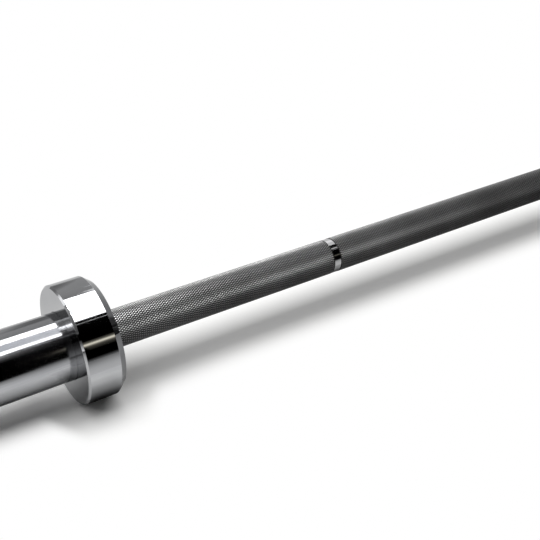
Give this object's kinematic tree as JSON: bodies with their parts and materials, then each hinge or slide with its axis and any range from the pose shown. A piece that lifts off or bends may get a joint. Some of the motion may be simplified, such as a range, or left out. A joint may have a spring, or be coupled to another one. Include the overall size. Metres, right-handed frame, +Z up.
{
  "type": "olympic barbell",
  "caption": "Olympic barbell with a knurled chrome shaft, ring marks, bevelled stop collars and free-spinning sleeves that carry weight plates.",
  "frame": {"origin": "on the bar's axis at mid-length", "axes": "+X along the bar towards the right sleeve, +Z up"},
  "size_m": [2.2, 0.088, 0.088],
  "materials": {
    "shaft": "hard chrome over knurled steel",
    "sleeve": "polished chrome",
    "collar": "polished chrome",
    "seal": "black nitrile rubber",
    "spring_steel": "phosphated spring steel",
    "washer_steel": "ground steel",
    "bronze": "oiled sintered bronze",
    "bearing_steel": "ground bearing steel",
    "cage_steel": "pressed steel",
    "cap": "black anodised aluminium"
  },
  "bodies": {
    "shaft": {"shaft": "shaft", "left_inner_stop_ring": "spring_steel", "left_inner_thrust_washer": "washer_steel", "left_outer_thrust_washer": "washer_steel", "left_outer_stop_ring": "spring_steel", "right_inner_stop_ring": "spring_steel", "right_inner_thrust_washer": "washer_steel", "right_outer_thrust_washer": "washer_steel", "right_outer_stop_ring": "spring_steel"},
    "left_sleeve": {"left_sleeve": "sleeve", "left_collar": "collar", "left_dust_seal": "seal", "left_inner_bush": "bronze", "left_outer_bush": "bronze", "left_inner_bearing_cup": "bearing_steel", "left_outer_bearing_cup": "bearing_steel", "left_end_cap": "cap", "left_end_cap_ring": "spring_steel"},
    "left_inner_cage": {"left_inner_bearing_cage": "cage_steel", "left_inner_bearing_needles": "bearing_steel"},
    "left_outer_cage": {"left_outer_bearing_cage": "cage_steel", "left_outer_bearing_needles": "bearing_steel"},
    "right_sleeve": {"right_sleeve": "sleeve", "right_collar": "collar", "right_dust_seal": "seal", "right_inner_bush": "bronze", "right_outer_bush": "bronze", "right_inner_bearing_cup": "bearing_steel", "right_outer_bearing_cup": "bearing_steel", "right_end_cap": "cap", "right_end_cap_ring": "spring_steel"},
    "right_inner_cage": {"right_inner_bearing_cage": "cage_steel", "right_inner_bearing_needles": "bearing_steel"},
    "right_outer_cage": {"right_outer_bearing_cage": "cage_steel", "right_outer_bearing_needles": "bearing_steel"}
  },
  "joints": [
    {"name": "left_sleeve_spin", "type": "hinge", "parent": "shaft", "child": "left_sleeve", "pos_m": [-0.8775, 0, 0], "axis": [1, 0, 0], "continuous": true},
    {"name": "left_inner_cage_spin", "type": "hinge", "parent": "shaft", "child": "left_inner_cage", "pos_m": [-0.71075, 0, 0], "axis": [1, 0, 0], "continuous": true},
    {"name": "left_outer_cage_spin", "type": "hinge", "parent": "shaft", "child": "left_outer_cage", "pos_m": [-1.03715, 0, 0], "axis": [1, 0, 0], "continuous": true},
    {"name": "right_sleeve_spin", "type": "hinge", "parent": "shaft", "child": "right_sleeve", "pos_m": [0.8775, 0, 0], "axis": [1, 0, 0], "continuous": true},
    {"name": "right_inner_cage_spin", "type": "hinge", "parent": "shaft", "child": "right_inner_cage", "pos_m": [0.71075, 0, 0], "axis": [1, 0, 0], "continuous": true},
    {"name": "right_outer_cage_spin", "type": "hinge", "parent": "shaft", "child": "right_outer_cage", "pos_m": [1.03715, 0, 0], "axis": [1, 0, 0], "continuous": true}
  ],
  "couplings": [
    {"joint": "left_inner_cage_spin", "follows": "left_sleeve_spin", "ratio": 0.54169},
    {"joint": "left_outer_cage_spin", "follows": "left_sleeve_spin", "ratio": 0.54169},
    {"joint": "right_inner_cage_spin", "follows": "right_sleeve_spin", "ratio": 0.54169},
    {"joint": "right_outer_cage_spin", "follows": "right_sleeve_spin", "ratio": 0.54169}
  ]
}
